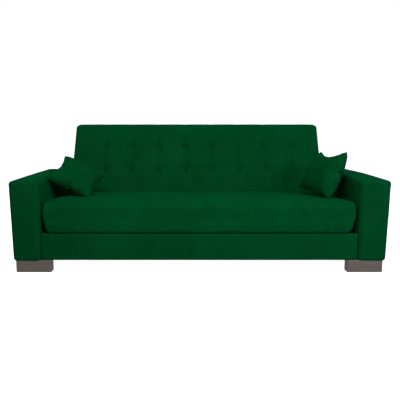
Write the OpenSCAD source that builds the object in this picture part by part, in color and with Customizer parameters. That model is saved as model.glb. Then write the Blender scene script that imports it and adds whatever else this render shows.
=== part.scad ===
// Futon sofa bed: a click-clack sofa with a storage box under the seat.
// +X runs along the sofa, the front faces -Y and +Z is up. The origin lies on the
// floor, under the middle of the whole sofa. Lengths are in millimetres.
// Side-view distances called "y" below are measured backwards from the arm fronts.

/* [Overall] */
// Width over the outer faces of the arms
overall_w = 2256; // [2240:2:2280]
// Height of the underside of the base and arms above the floor
clearance_h = 79; // [60:1:90]

/* [Arms] */
// Width of each arm
arm_w = 175; // [160:1:200]
// Depth of each arm, front to back
arm_d = 789; // [780:1:820]
// Height of the arm tops above the floor
arm_h = 557; // [520:1:600]
// Thickness of the padded cover over the arm frame
arm_pad = 18; // [14:1:24]
// Corner radius along the top edges of the arms
arm_round = 16; // [8:1:17]

/* [Fold line] */
// Height of the pivots above the floor
pivot_z = 338; // [334:1:344]
// Distance of the pivots behind the arm fronts
pivot_y = 697; // [690:1:700]
// Distance from the pivots to the seat's top and to the back's front face
soft_r = 60; // [56:1:64]
// Clear gap between the seat's rounded rear edge and the back
soft_gap = 3; // [2:0.5:5]
// Slope of the seat, down towards the back, in degrees
seat_tilt = 3; // [2:0.5:4]
// Lean of the back from the vertical, in degrees
back_lean = 22; // [18:1:24]

/* [Cushions] */
// Length of the seat and the back between the arms
cushion_w = 1874; // [1860:1:1876]
// Distance from the pivots to the front of the seat
seat_reach = 688; // [680:1:692]
// Thickness of the seat unit
seat_t = 180; // [170:1:184]
// Radius of the seat's front top edge
seat_round = 42; // [30:1:50]
// Distance from the pivots to the top of the back
back_reach = 588; // [560:1:620]
// Thickness of the back unit
back_t = 150; // [140:1:160]
// Radius of the back's top edges and upper corners
back_round = 35; // [25:1:40]
// Thickness of the upholstery fabric with its wadding
cover_t = 3; // [2:0.5:4]
// Number of tufts in a row along the back
tuft_columns = 8; // [6:1:8]
// Distance from one tuft to the next
tuft_pitch = 203; // [190:1:215]
// Offset of the tufts from the middle of the back
tuft_shift = 15; // [-20:1:20]

/* [Base] */
// Height of the top of the covered front rail
front_rail_top = 239; // [236:1:244]
// Height of the top of the side and rear boards
board_top = 199; // [189:1:201]
// Thickness of the boards
board_t = 22; // [18:1:24]
// Distance of the front rail's cover behind the arm fronts
rail_setback = 12; // [8:1:16]

/* [Feet] */
// Width of a foot
foot_w = 212; // [180:1:220]
// Depth of a foot
foot_d = 50; // [40:1:60]
// Distance of a foot in from the arm's outer face
foot_inset = 24; // [15:1:30]

/* [Throw pillows] */
// Side of a throw pillow between its edges
pillow_w = 310; // [280:1:330]
// Thickness of a throw pillow at its middle
pillow_t = 116; // [80:1:120]

/* [Hidden] */

$fn = 64;
LEFT = -1;
RIGHT = 1;
SIDES = [LEFT, RIGHT];
E = 1;                       // overshoot of a cut past the face it opens
slack = 0.5;                 // gap left between a cover and its filling or frame

cover_colour = [0.0, 0.26, 0.14];
timber_colour = [0.78, 0.63, 0.42];
foot_colour = [0.36, 0.29, 0.25];
steel_colour = [0.62, 0.63, 0.65];
foam_colour = [0.93, 0.88, 0.68];
webbing_colour = [0.25, 0.22, 0.20];
lining_colour = [0.10, 0.10, 0.11];
rubber_colour = [0.12, 0.12, 0.12];

half_w = overall_w / 2;
arm_in = half_w - arm_w;     // inner face of an arm
cushion_x = cushion_w / 2;   // end face of the seat and the back
back_fold = soft_r + 2;      // lower end of the back, measured up from the pivots
seat_end = soft_r - 1;       // rear end of the seat, measured back from the pivots

// The fold: the back turns through fold_angle to lie in line with the seat. At rest the
// plane of the seat's top meets the back's front face at crease_z above the pivots.
fold_angle = 90 - back_lean + seat_tilt;
crease_z = soft_r * tan(fold_angle / 2);

// Rearmost point of the sofa: the rounded rear edge of the back's top
back_rear = pivot_y + (back_reach - back_round) * sin(back_lean)
    + (back_t - soft_r - back_round) * cos(back_lean) + back_round;

// Timber frames inside the seat and the back
frame_t = 40;                // thickness of the timber frames
rail_w = 45;                 // width of a frame rail
slat_t = 10;
slat_inset = 28;             // the slats stop short of the seat's ends
corner_tuck = 42;            // chamfer of the front rail, where the cover is drawn in
underside_t = 1.5;
seat_bottom = soft_r - seat_t;
seat_frame_z = seat_bottom + 2;
seat_slat_z = seat_frame_z + frame_t;
seat_inner_front = -seat_reach + cover_t + slack;
seat_inner_rear = seat_end - cover_t - slack;
seat_frame_front = seat_inner_front + 24;
seat_bearer_count = 6;
seat_slat_count = 9;
back_rear_face = back_t - soft_r;
back_frame_y = back_rear_face - cover_t - frame_t;
back_frame_low = back_fold + 20;
back_frame_high = back_reach - back_round - 4;
panel_inset = 20;            // margin of the back's rear panel inside the cover's edges
webbing_t = 2;
webbing_w = 60;
webbing_rows = 5;
back_upright_count = 6;
inner_x = cushion_x - cover_t - slack;

// Tufts: ties that pull the cover of the back down through the foam
tuft_rows = [215, 401];      // heights above the pivots
tie_r = 1.5;
tie_hole_r = 3;
tie_depth = 22;              // depth of a tuft below the front face

// Hinge plates, from the cushion's end face outwards
plate_t = 3;
seat_plate_x = cushion_x;
back_plate_x = cushion_x + plate_t + 1;
washer_x = back_plate_x + plate_t + 0.5;
washer_t = 3;
bracket_t = 5;
bracket_x = arm_in - bracket_t;
pin_r = 8;
pin_play = 0.05;
hub_r = 30;
seat_plate_l = 255;
back_plate_l = 270;
screw_r = 3;
screw_hole_r = 3.1;
screw_l = 28;

// Ratchet on the back plates and the pawl that holds it
tooth_h = 4;
tooth_count = 7;
tooth_step = 12;
tooth_from = 168;            // angle of the first tooth, seen from the seat
pawl_y = -50;
pawl_z = 14;
pawl_pin_r = 3;
pawl_play = 0.05;
pawl_gap = 1.2;              // gap between the pawl and the tips of the teeth

// Base box
glide_h = 4;
glide_r = 12;
foot_bolt_r = 4;
foot_bolt_hole_r = 4.1;
foot_bolt_l = 60;
panel_z = clearance_h + 20;
panel_t = 5;
cleat_w = 20;
board_x = arm_in - board_t;
rear_board_y = arm_d - 2 - board_t;
front_board_y = rail_setback + 4;
arm_post_d = 40;
arm_panel_t = 4;
arm_bolt_r = 4;
arm_bolt_hole_r = 4.2;
arm_rail_h = 60;
arm_bolt_z = clearance_h + 36;
arm_bolt_ys = [190, 610];
bumper_h = 12.8;
bracket_flange_t = 4;
bracket_half = 45;

// Throw pillows: middle in side-view coordinates, and turns about X, Y and Z in that order
pillow_left_at = [-806, 356, 562];
pillow_left_turn = [24, 27, 7];
pillow_right_at = [817, 306, 577];
pillow_right_turn = [4, -61, 16];

// ---- Placing and shared shapes ----

// Side-view coordinates to the sofa's own frame
module place() {
    translate([0, -back_rear / 2, 0]) children();
}

// A unit that turns on the pivots, modelled upright about the pivot line
module on_pivot(angle) {
    place() translate([0, pivot_y, pivot_z]) rotate([-angle, 0, 0]) children();
}

module on_seat() {
    on_pivot(seat_tilt) children();
}

module on_back() {
    on_pivot(back_lean) children();
}

// Right-hand shapes as they are, left-hand ones mirrored
module on_side(side) {
    if (side == LEFT) mirror([1, 0, 0]) children();
    else children();
}

// A side-view outline extruded along the sofa
module along_x(x0, x1) {
    translate([x0, 0, 0]) rotate([90, 0, 90]) linear_extrude(x1 - x0) children();
}

// A front-view outline extruded backwards
module along_y(y0, y1) {
    translate([0, y1, 0]) rotate([90, 0, 0]) linear_extrude(y1 - y0) children();
}

module block(low, high) {
    translate(low) cube(high - low);
}

module rod_x(r, x0, x1, y, z) {
    translate([x0, y, z]) rotate([0, 90, 0]) cylinder(r = r, h = x1 - x0);
}

module rod_y(r, x, y0, y1, z) {
    translate([x, y0, z]) rotate([-90, 0, 0]) cylinder(r = r, h = y1 - y0);
}

// The piece that rounding takes off the lower left corner at the origin
module corner_bite(r) {
    difference() {
        translate([-E, -E]) square(r + E);
        translate([r, r]) circle(r);
    }
}

// Rectangle with its own radius at each corner: lower left, lower right, top right, top left
module round_rect(low, high, radii) {
    difference() {
        translate(low) square(high - low);
        if (radii[0] > 0) translate(low) corner_bite(radii[0]);
        if (radii[1] > 0) translate([high[0], low[1]]) mirror([1, 0]) corner_bite(radii[1]);
        if (radii[2] > 0) translate(high) mirror([1, 0]) mirror([0, 1]) corner_bite(radii[2]);
        if (radii[3] > 0) translate([low[0], high[1]]) mirror([0, 1]) corner_bite(radii[3]);
    }
}

function spread(count, low, high) = [for (i = [0:count - 1]) low + i * (high - low) / (count - 1)];

// ---- Base box ----

module front_board() {
    x = arm_in - 6;
    color(timber_colour) place()
        block([-x, front_board_y, clearance_h],
              [x, front_board_y + board_t, front_rail_top - cover_t - 1]);
}

module front_rail_cover() {
    x = arm_in - 3;
    back = front_board_y + board_t;
    color(cover_colour) place() difference() {
        block([-x, rail_setback, clearance_h], [x, back, front_rail_top]);
        block([-x - E, front_board_y, clearance_h - E],
              [x + E, back + E, front_rail_top - cover_t - 1]);
    }
}

module side_board(side) {
    color(timber_colour) place() on_side(side) difference() {
        block([board_x, front_board_y + board_t, clearance_h], [arm_in, rear_board_y, board_top]);
        for (y = arm_bolt_ys) rod_x(arm_bolt_hole_r, board_x - E, arm_in + E, y, arm_bolt_z);
        for (y = bracket_screw_ys()) translate([screw_x(), y, board_top - screw_l])
            cylinder(r = screw_hole_r, h = screw_l + E);
    }
}

module rear_board() {
    color(timber_colour) place()
        block([-arm_in, rear_board_y, clearance_h], [arm_in, rear_board_y + board_t, board_top]);
}

module bottom_panel() {
    color(timber_colour) place()
        block([-board_x + slack, front_board_y + board_t + slack, panel_z],
              [board_x - slack, rear_board_y - slack, panel_z + panel_t]);
}

module bottom_crossbars() {
    color(timber_colour) place() for (x = [-board_x / 2, 0, board_x / 2])
        block([x - 25, front_board_y + board_t + cleat_w, clearance_h],
              [x + 25, rear_board_y - cleat_w, panel_z]);
}

module panel_cleats() {
    color(timber_colour) place() for (y = [front_board_y + board_t, rear_board_y - cleat_w])
        block([-board_x + slack, y, clearance_h], [board_x - slack, y + cleat_w, panel_z]);
}

module corner_blocks() {
    leg = 45;
    low = panel_z + panel_t;
    color(timber_colour) place() for (side = SIDES) on_side(side) {
        translate([board_x, front_board_y + board_t, low]) linear_extrude(board_top - 10 - low)
            polygon([[0, 0], [-leg, 0], [0, leg]]);
        translate([board_x, rear_board_y, low]) linear_extrude(board_top - 10 - low)
            polygon([[0, 0], [0, -leg], [-leg, 0]]);
    }
}

module seat_bumpers() {
    color(rubber_colour) place() for (x = spread(4, -0.8 * arm_in, 0.8 * arm_in))
        translate([x, front_board_y + 11, front_rail_top]) cylinder(r = 9, h = bumper_h);
}

// ---- Feet ----

function foot_x0() = half_w - foot_inset - foot_w;
function foot_y(rear) = rear ? arm_d - arm_pad + 8 - foot_d : 10;
function foot_bolt_xs() = [half_w - 125, half_w - 55];
function foot_bolt_y(rear) = rear ? arm_d - arm_pad - arm_post_d / 2 : arm_pad + arm_post_d / 2;

module foot(side, rear) {
    y = foot_y(rear);
    color(foot_colour) place() on_side(side) difference() {
        block([foot_x0(), y, glide_h], [foot_x0() + foot_w, y + foot_d, clearance_h]);
        for (x = foot_bolt_xs()) translate([x, foot_bolt_y(rear), clearance_h - foot_bolt_l / 2])
            cylinder(r = foot_bolt_hole_r, h = foot_bolt_l);
    }
}

module foot_glides() {
    color(rubber_colour) place() for (side = SIDES, rear = [false, true], x = [30, foot_w - 30])
        on_side(side) translate([foot_x0() + x, foot_y(rear) + foot_d / 2, 0])
            cylinder(r = glide_r, h = glide_h);
}

module foot_bolts() {
    color(steel_colour) place() for (side = SIDES, rear = [false, true], x = foot_bolt_xs())
        on_side(side) translate([x, foot_bolt_y(rear), clearance_h - foot_bolt_l / 2])
            cylinder(r = foot_bolt_r, h = foot_bolt_l);
}

// ---- Arms ----

module arm_outline() {
    round_rect([arm_in, clearance_h], [half_w, arm_h], [0, 0, arm_round, arm_round]);
}

module arm_cover(side) {
    color(cover_colour) place() on_side(side) difference() {
        along_y(0, arm_d) arm_outline();
        block([arm_in + arm_pad, arm_pad, clearance_h - E],
              [half_w - arm_pad, arm_d - arm_pad, arm_h - arm_pad]);
        for (y = arm_bolt_ys) rod_x(arm_bolt_hole_r, arm_in - E, arm_in + arm_pad + E, y, arm_bolt_z);
    }
}

function arm_core_low() = arm_in + arm_pad + slack;
function arm_core_high() = half_w - arm_pad - slack;

module arm_panels(side) {
    top = arm_h - arm_pad - slack;
    rear = arm_d - arm_pad - slack;
    color(timber_colour) place() on_side(side) difference() {
        for (x = [arm_core_low(), arm_core_high() - arm_panel_t])
            block([x, arm_pad + slack, clearance_h], [x + arm_panel_t, rear, top]);
        for (y = arm_bolt_ys)
            rod_x(arm_bolt_hole_r, arm_core_low() - E, arm_core_low() + arm_panel_t + E, y, arm_bolt_z);
    }
}

module arm_posts(side) {
    top = arm_h - arm_pad - slack;
    x0 = arm_core_low() + arm_panel_t;
    x1 = arm_core_high() - arm_panel_t;
    color(timber_colour) place() on_side(side) difference() {
        for (y = [arm_pad + slack, arm_d - arm_pad - slack - arm_post_d])
            block([x0, y, clearance_h], [x1, y + arm_post_d, top]);
        for (rear = [false, true], x = foot_bolt_xs())
            translate([x, foot_bolt_y(rear), clearance_h - E])
                cylinder(r = foot_bolt_hole_r, h = foot_bolt_l / 2 + E);
    }
}

module arm_rails(side) {
    top = arm_h - arm_pad - slack;
    x0 = arm_core_low() + arm_panel_t;
    x1 = arm_core_high() - arm_panel_t;
    y0 = arm_pad + slack + arm_post_d;
    y1 = arm_d - arm_pad - slack - arm_post_d;
    color(timber_colour) place() on_side(side) difference() {
        for (z = [clearance_h, top - arm_rail_h])
            block([x0, y0, z], [x1, y1, z + arm_rail_h]);
        for (y = arm_bolt_ys) rod_x(arm_bolt_hole_r, x0 - E, x0 + 60, y, arm_bolt_z);
    }
}

module arm_bolts() {
    tip = arm_core_low() + arm_panel_t + 55;
    color(steel_colour) place() for (side = SIDES, y = arm_bolt_ys) on_side(side) {
        rod_x(arm_bolt_r, board_x - 5, tip, y, arm_bolt_z);
        rod_x(9, board_x - 6, board_x, y, arm_bolt_z);
    }
}

// ---- Pivot brackets and pins ----

function screw_x() = board_x + 7;
function bracket_screw_ys() = [pivot_y - 30, pivot_y + 30];

module pivot_bracket(side) {
    color(steel_colour) place() on_side(side) difference() {
        union() {
            rod_x(hub_r, bracket_x, arm_in, pivot_y, pivot_z);
            block([bracket_x, pivot_y - hub_r, board_top], [arm_in, pivot_y + hub_r, pivot_z]);
            block([board_x, pivot_y - bracket_half, board_top],
                  [arm_in, pivot_y + bracket_half, board_top + bracket_flange_t]);
        }
        rod_x(pin_r + 0.02, bracket_x - E, arm_in + E, pivot_y, pivot_z);
        for (y = bracket_screw_ys()) translate([screw_x(), y, board_top - E])
            cylinder(r = screw_hole_r, h = bracket_flange_t + 2 * E);
    }
}

module bracket_screws() {
    color(steel_colour) place() for (side = SIDES, y = bracket_screw_ys())
        on_side(side) translate([screw_x(), y, board_top + bracket_flange_t]) {
            translate([0, 0, -screw_l]) cylinder(r = screw_r, h = screw_l);
            cylinder(r = 2 * screw_r, h = 1.5);
        }
}

module pivot_pin(side) {
    color(steel_colour) place() on_side(side)
        rod_x(pin_r, cushion_x + soft_gap / 10, arm_in, pivot_y, pivot_z);
}

module pivot_washers() {
    color(steel_colour) place() for (side = SIDES) on_side(side) difference() {
        rod_x(2 * pin_r, washer_x, washer_x + washer_t, pivot_y, pivot_z);
        rod_x(pin_r + pin_play, washer_x - E, washer_x + washer_t + E, pivot_y, pivot_z);
    }
}

// ---- Seat ----

// Side view of the seat, all round smaller by inset
module seat_outline(inset) {
    low = [-seat_reach + inset, seat_bottom];
    high = [seat_end - inset, soft_r - inset];
    round_rect(low, high, [14, 8, soft_r - 1 - inset, seat_round - inset]);
}

module seat_cover() {
    color(cover_colour) on_seat() difference() {
        along_x(-cushion_x, cushion_x) seat_outline(0);
        intersection() {
            along_x(-cushion_x + cover_t, cushion_x - cover_t)
                round_rect([-seat_reach + cover_t, seat_bottom - 40],
                           [seat_end - cover_t, soft_r - cover_t],
                           [0, 0, soft_r - 1 - cover_t, seat_round - cover_t]);
            block([-cushion_x, -seat_reach, seat_bottom - E], [cushion_x, seat_end, soft_r]);
        }
        seat_screw_holes(cushion_x - cover_t - E, cushion_x + E);
    }
}

module seat_foam() {
    low = [seat_inner_front, seat_slat_z + slat_t + slack];
    high = [seat_inner_rear, soft_r - cover_t - slack];
    color(foam_colour) on_seat() along_x(-inner_x, inner_x)
        round_rect(low, high, [0, 0, soft_r - 1 - cover_t - slack, seat_round - cover_t - slack]);
}

// Its front corners are cut off where the cover is drawn in under the seat
module seat_rail_front() {
    y1 = seat_frame_front + rail_w;
    color(timber_colour) on_seat() translate([0, 0, seat_frame_z]) linear_extrude(frame_t)
        polygon([[-inner_x + corner_tuck, seat_frame_front], [inner_x - corner_tuck, seat_frame_front],
                 [inner_x, y1], [-inner_x, y1]]);
}

module seat_rail_rear() {
    color(timber_colour) on_seat()
        block([-inner_x, seat_inner_rear - 8 - rail_w, seat_frame_z],
              [inner_x, seat_inner_rear - 8, seat_frame_z + frame_t]);
}

module seat_bearers() {
    y0 = seat_frame_front + rail_w;
    y1 = seat_inner_rear - 8 - rail_w;
    color(timber_colour) on_seat() difference() {
        for (x = spread(seat_bearer_count, -inner_x + rail_w / 2, inner_x - rail_w / 2))
            block([x - rail_w / 2, y0, seat_frame_z], [x + rail_w / 2, y1, seat_frame_z + frame_t]);
        seat_screw_holes(inner_x - screw_l, inner_x + E);
    }
}

module seat_slats() {
    first = seat_inner_front + 50;
    last = seat_inner_rear - 45;
    color(timber_colour) on_seat() for (y = spread(seat_slat_count, first, last))
        block([-inner_x + slat_inset, y - 25, seat_slat_z],
              [inner_x - slat_inset, y + 25, seat_slat_z + slat_t]);
}

module seat_underside() {
    color(lining_colour) on_seat()
        block([-inner_x, seat_frame_front - 3, seat_bottom],
              [inner_x, seat_inner_rear - 6, seat_bottom + underside_t]);
}

// ---- Hinge plates on the seat ----

function seat_screw_ys() = [-235, -165, -95];
function seat_screw_z() = seat_frame_z + frame_t / 2;

module seat_screw_holes(x0, x1) {
    for (side = SIDES, y = seat_screw_ys()) on_side(side)
        rod_x(screw_hole_r, x0, x1, y, seat_screw_z());
}

module seat_plate(side) {
    color(steel_colour) on_seat() on_side(side) difference() {
        along_x(seat_plate_x, seat_plate_x + plate_t) {
            circle(hub_r);
            translate([-hub_r, seat_frame_z]) square([2 * hub_r, -seat_frame_z]);
            translate([-seat_plate_l, seat_frame_z]) square([seat_plate_l, frame_t]);
            translate([pawl_y - 12, pawl_z - 12]) square([-pawl_y, 24]);
        }
        rod_x(pin_r + pin_play, seat_plate_x - E, seat_plate_x + plate_t + E, 0, 0);
        rod_x(pawl_pin_r + pawl_play, seat_plate_x - E, seat_plate_x + plate_t + E, pawl_y, pawl_z);
        seat_screw_holes(seat_plate_x - E, seat_plate_x + plate_t + E);
    }
}

module seat_plate_screws() {
    x = seat_plate_x + plate_t;
    color(steel_colour) on_seat() for (side = SIDES, y = seat_screw_ys()) on_side(side) {
        rod_x(screw_r, x - screw_l, x, y, seat_screw_z());
        rod_x(2 * screw_r, x, x + 1, y, seat_screw_z());
    }
}

module pawl_pins() {
    color(steel_colour) on_seat() for (side = SIDES) on_side(side)
        rod_x(pawl_pin_r, seat_plate_x, washer_x + 2, pawl_y, pawl_z);
}

module pawl_springs() {
    color(steel_colour) on_seat() for (side = SIDES) on_side(side) difference() {
        rod_x(pawl_pin_r + 3, washer_x, washer_x + 1.6, pawl_y, pawl_z);
        rod_x(pawl_pin_r + 0.5, washer_x - E, washer_x + 1.6 + E, pawl_y, pawl_z);
    }
}

// A short lever: its nose stands just clear of the ratchet teeth
module pawl(side) {
    nose = hub_r + tooth_h + pawl_gap;
    x0 = back_plate_x + 0.2;
    x1 = back_plate_x + plate_t - 0.2;
    color(steel_colour) on_seat() on_side(side) difference() {
        along_x(x0, x1) {
            translate([pawl_y, pawl_z]) circle(7);
            polygon([[pawl_y - 5, pawl_z - 5], [-nose, -4], [-nose, 2], [pawl_y + 5, pawl_z + 5]]);
        }
        rod_x(pawl_pin_r + pawl_play, x0 - E, x1 + E, pawl_y, pawl_z);
    }
}

// ---- Back ----

// Side view of the back, all round smaller by inset. Its lower front edge reaches down to
// the seat in a lip that stays outside the circle of the seat's rounded rear edge.
module back_outline(inset) {
    front = -soft_r + inset;
    round_rect([front, back_fold + inset], [back_rear_face - inset, back_reach - inset],
               [0, 18, back_round - inset, back_round - inset]);
    polygon([[front, back_fold + inset + E], [front, crease_z + soft_gap + inset],
             [-soft_r * cos(fold_angle), soft_r * sin(fold_angle) + soft_gap + inset],
             [0, back_fold + inset], [0, back_fold + inset + E]]);
}

// Front view of the back, all round smaller by inset
module back_front_outline(inset) {
    round_rect([-cushion_x + inset, crease_z], [cushion_x - inset, back_reach - inset],
               [0, 0, back_round - inset, back_round - inset]);
}

module back_solid(inset, rear) {
    intersection() {
        along_x(-cushion_x, cushion_x) back_outline(inset);
        along_y(-soft_r - E, rear) back_front_outline(inset);
    }
}

module back_cover() {
    color(cover_colour) on_back() difference() {
        back_solid(0, back_rear_face + E);
        back_solid(cover_t, back_rear_face + E);
        block([-inner_x + panel_inset, back_rear_face - 20, back_fold + panel_inset],
              [inner_x - panel_inset, back_rear_face + E, back_reach - back_round - panel_inset]);
        back_screw_holes(cushion_x - cover_t - E, cushion_x + E);
    }
}

function tuft_xs() =
    [for (i = [0:tuft_columns - 1]) (i - (tuft_columns - 1) / 2) * tuft_pitch + tuft_shift];

module tuft_rods(r, y0, y1) {
    for (x = tuft_xs(), z = tuft_rows) rod_y(r, x, y0, y1, z);
}

module back_foam() {
    color(foam_colour) on_back() difference() {
        back_solid(cover_t + slack, back_frame_y - webbing_t - slack);
        tuft_rods(tie_hole_r, -soft_r - E, back_frame_y + E);
    }
}

module tuft_ties() {
    color(webbing_colour) on_back()
        tuft_rods(tie_r, -soft_r + tie_depth, back_frame_y - webbing_t - slack);
}

module back_rail_top() {
    color(timber_colour) on_back()
        block([-inner_x + back_round, back_frame_y, back_frame_high - rail_w],
              [inner_x - back_round, back_frame_y + frame_t, back_frame_high]);
}

module back_rail_bottom() {
    color(timber_colour) on_back()
        block([-inner_x, back_frame_y, back_frame_low],
              [inner_x, back_frame_y + frame_t, back_frame_low + rail_w]);
}

module back_uprights() {
    z0 = back_frame_low + rail_w;
    z1 = back_frame_high - rail_w;
    color(timber_colour) on_back() difference() {
        for (x = spread(back_upright_count, -inner_x + rail_w / 2, inner_x - rail_w / 2))
            block([x - rail_w / 2, back_frame_y, z0], [x + rail_w / 2, back_frame_y + frame_t, z1]);
        back_screw_holes(inner_x - screw_l, inner_x + E);
    }
}

module back_webbing() {
    first = back_fold + 90;
    last = back_reach - 90;
    color(webbing_colour) on_back() for (z = spread(webbing_rows, first, last))
        block([-inner_x + 4, back_frame_y - webbing_t, z - webbing_w / 2],
              [inner_x - 4, back_frame_y, z + webbing_w / 2]);
}

module back_rear_cover() {
    y = back_rear_face - underside_t;
    color(cover_colour) on_back()
        block([-inner_x + panel_inset + slack, y, back_fold + panel_inset + slack],
              [inner_x - panel_inset - slack, back_rear_face,
               back_reach - back_round - panel_inset - slack]);
}

// ---- Hinge plates on the back ----

function back_screw_zs() = [150, 200, 250];
function back_screw_y() = back_frame_y + frame_t / 2;

module back_screw_holes(x0, x1) {
    for (side = SIDES, z = back_screw_zs()) on_side(side)
        rod_x(screw_hole_r, x0, x1, back_screw_y(), z);
}

// One ratchet tooth, pointing outwards along +X of the side view
module tooth() {
    root = hub_r - 2;
    polygon([[root, -3], [hub_r + tooth_h, -1], [hub_r + tooth_h, 0], [root, 4]]);
}

module ratchet() {
    turn = tooth_from - seat_tilt + back_lean;
    circle(hub_r);
    for (i = [0:tooth_count - 1]) rotate(turn + i * tooth_step) tooth();
}

module back_plate(side) {
    x1 = back_plate_x + plate_t;
    color(steel_colour) on_back() on_side(side) difference() {
        union() {
            along_x(back_plate_x, x1) {
                ratchet();
                translate([0, -18]) square([back_frame_y + frame_t, 36]);
                translate([back_frame_y, -18]) square([frame_t, back_plate_l + 18]);
            }
            for (z = back_screw_zs()) rod_x(9, cushion_x, back_plate_x, back_screw_y(), z);
        }
        rod_x(pin_r + pin_play, back_plate_x - E, x1 + E, 0, 0);
        back_screw_holes(cushion_x - E, x1 + E);
    }
}

module back_plate_screws() {
    x = back_plate_x + plate_t;
    color(steel_colour) on_back() for (side = SIDES, z = back_screw_zs()) on_side(side) {
        rod_x(screw_r, x - screw_l, x, back_screw_y(), z);
        rod_x(2 * screw_r, x, x + 1, back_screw_y(), z);
    }
}

// ---- Throw pillows ----

// A square pillow with a thick middle and thin edges, lying flat about its middle
module pillow_form(inset) {
    edge = pillow_w - 2 * inset;
    middle = edge * 0.5;
    hull() {
        cube([edge, edge, 14 - inset], center = true);
        cube([middle, middle, pillow_t - 2 * inset], center = true);
    }
}

module pillow_left_place() {
    place() translate(pillow_left_at) rotate(pillow_left_turn) children();
}

module pillow_right_place() {
    place() translate(pillow_right_at) rotate(pillow_right_turn) children();
}

module pillow_cover_left() {
    color(cover_colour) pillow_left_place() difference() {
        pillow_form(0);
        pillow_form(cover_t);
    }
}

module pillow_filling_left() {
    color(foam_colour) pillow_left_place() pillow_form(cover_t + slack);
}

module pillow_cover_right() {
    color(cover_colour) pillow_right_place() difference() {
        pillow_form(0);
        pillow_form(cover_t);
    }
}

module pillow_filling_right() {
    color(foam_colour) pillow_right_place() pillow_form(cover_t + slack);
}

front_board();
front_rail_cover();
side_board(LEFT);  // side_board_left
side_board(RIGHT);  // side_board_right
rear_board();
bottom_panel();
bottom_crossbars();
panel_cleats();
corner_blocks();
foot(LEFT, false);  // front_foot_left
foot(RIGHT, false);  // front_foot_right
foot(LEFT, true);  // rear_foot_left
foot(RIGHT, true);  // rear_foot_right
foot_glides();
foot_bolts();
seat_bumpers();
arm_cover(LEFT);  // arm_cover_left
arm_cover(RIGHT);  // arm_cover_right
arm_posts(LEFT);  // arm_posts_left
arm_posts(RIGHT);  // arm_posts_right
arm_rails(LEFT);  // arm_rails_left
arm_rails(RIGHT);  // arm_rails_right
arm_panels(LEFT);  // arm_panels_left
arm_panels(RIGHT);  // arm_panels_right
arm_bolts();
pivot_bracket(LEFT);  // pivot_bracket_left
pivot_bracket(RIGHT);  // pivot_bracket_right
bracket_screws();
pivot_pin(LEFT);  // pivot_pin_left
pivot_pin(RIGHT);  // pivot_pin_right
pivot_washers();
seat_cover();
seat_foam();
seat_rail_front();
seat_rail_rear();
seat_bearers();
seat_slats();
seat_underside();
seat_plate(LEFT);  // seat_plate_left
seat_plate(RIGHT);  // seat_plate_right
seat_plate_screws();
pawl_pins();
pawl_springs();
pawl(LEFT);  // pawl_left
pawl(RIGHT);  // pawl_right
back_cover();
back_foam();
back_rail_top();
back_rail_bottom();
back_uprights();
back_webbing();
back_rear_cover();
tuft_ties();
back_plate(LEFT);  // back_plate_left
back_plate(RIGHT);  // back_plate_right
back_plate_screws();
pillow_cover_left();
pillow_filling_left();
pillow_cover_right();
pillow_filling_right();
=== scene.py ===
"""Looks of the futon sofa bed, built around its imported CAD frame.

Lengths are in metres in the CAD's frame: +X runs along the sofa, the front faces -Y, +Z is up.
The seat and the back are shaped in their own upright frames, about the line of the pivots,
and then leant to their angles.
"""

import math

import bmesh
import bpy
import numpy as np
from mathutils import Euler, Matrix, Vector, noise


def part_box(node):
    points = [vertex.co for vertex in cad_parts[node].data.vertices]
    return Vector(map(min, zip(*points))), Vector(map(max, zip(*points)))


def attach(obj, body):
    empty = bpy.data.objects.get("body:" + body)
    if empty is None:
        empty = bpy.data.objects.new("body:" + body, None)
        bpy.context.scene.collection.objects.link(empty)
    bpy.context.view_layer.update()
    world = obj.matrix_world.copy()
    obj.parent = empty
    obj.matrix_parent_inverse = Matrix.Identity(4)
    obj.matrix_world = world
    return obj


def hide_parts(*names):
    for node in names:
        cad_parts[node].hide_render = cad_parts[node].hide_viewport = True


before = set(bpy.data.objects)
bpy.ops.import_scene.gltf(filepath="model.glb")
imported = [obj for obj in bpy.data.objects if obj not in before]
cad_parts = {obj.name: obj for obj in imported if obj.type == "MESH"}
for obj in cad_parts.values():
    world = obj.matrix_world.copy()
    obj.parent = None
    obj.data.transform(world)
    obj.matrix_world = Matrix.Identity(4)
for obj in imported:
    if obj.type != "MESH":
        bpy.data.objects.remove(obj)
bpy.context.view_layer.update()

MM = 0.001
LEFT, RIGHT = -1, 1
SIDE_NAMES = {LEFT: "left", RIGHT: "right"}
scene = bpy.context.scene


# ---- Camera, light and floor ----

CAMERA_X, CAMERA_HEIGHT = -0.0869, 0.8796
CAMERA_DISTANCE = 2.6        # from the front of the arms
CAMERA_DIP = 0.12            # how far it looks down, in radians
SENSOR_MM, LENS_MM = 36, 40.2
LENS_SHIFT = (0.03775, -0.05)

WORLD_STRENGTH = 1.0
FLOOR_HALF = 30              # half its width
FLOOR_GLOW = 0.95            # keeps it white around the sofa

# Each lamp's place, the point it faces, its width and height, its power and its colour
LAMPS = {
    "key": ((2.2, -3.1, 1.9), (0.5, 0, 0.4), (1.4, 1.2), 190, (0.93, 1, 1.2)),
    "strip": ((0, -1.9, 2.3), (0, 0.3, 0.6), (2.6, 0.6), 200, (1, 1, 0.86)),
    "low_fill": ((0.2, -5.0, 0.6), (0, 0, 0.5), (2.4, 0.8), 35, (1, 1, 1)),
    "side_fill": ((-2.4, 0.5, 1.7), (0.95, 0, 0.5), (1.2, 1), 45, (1, 1, 1)),
    "rear": ((0.6, 4.6, 1.5), (0, 0.3, 0.5), (3.0, 1.5), 90, (1, 1, 1)),
}


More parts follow.
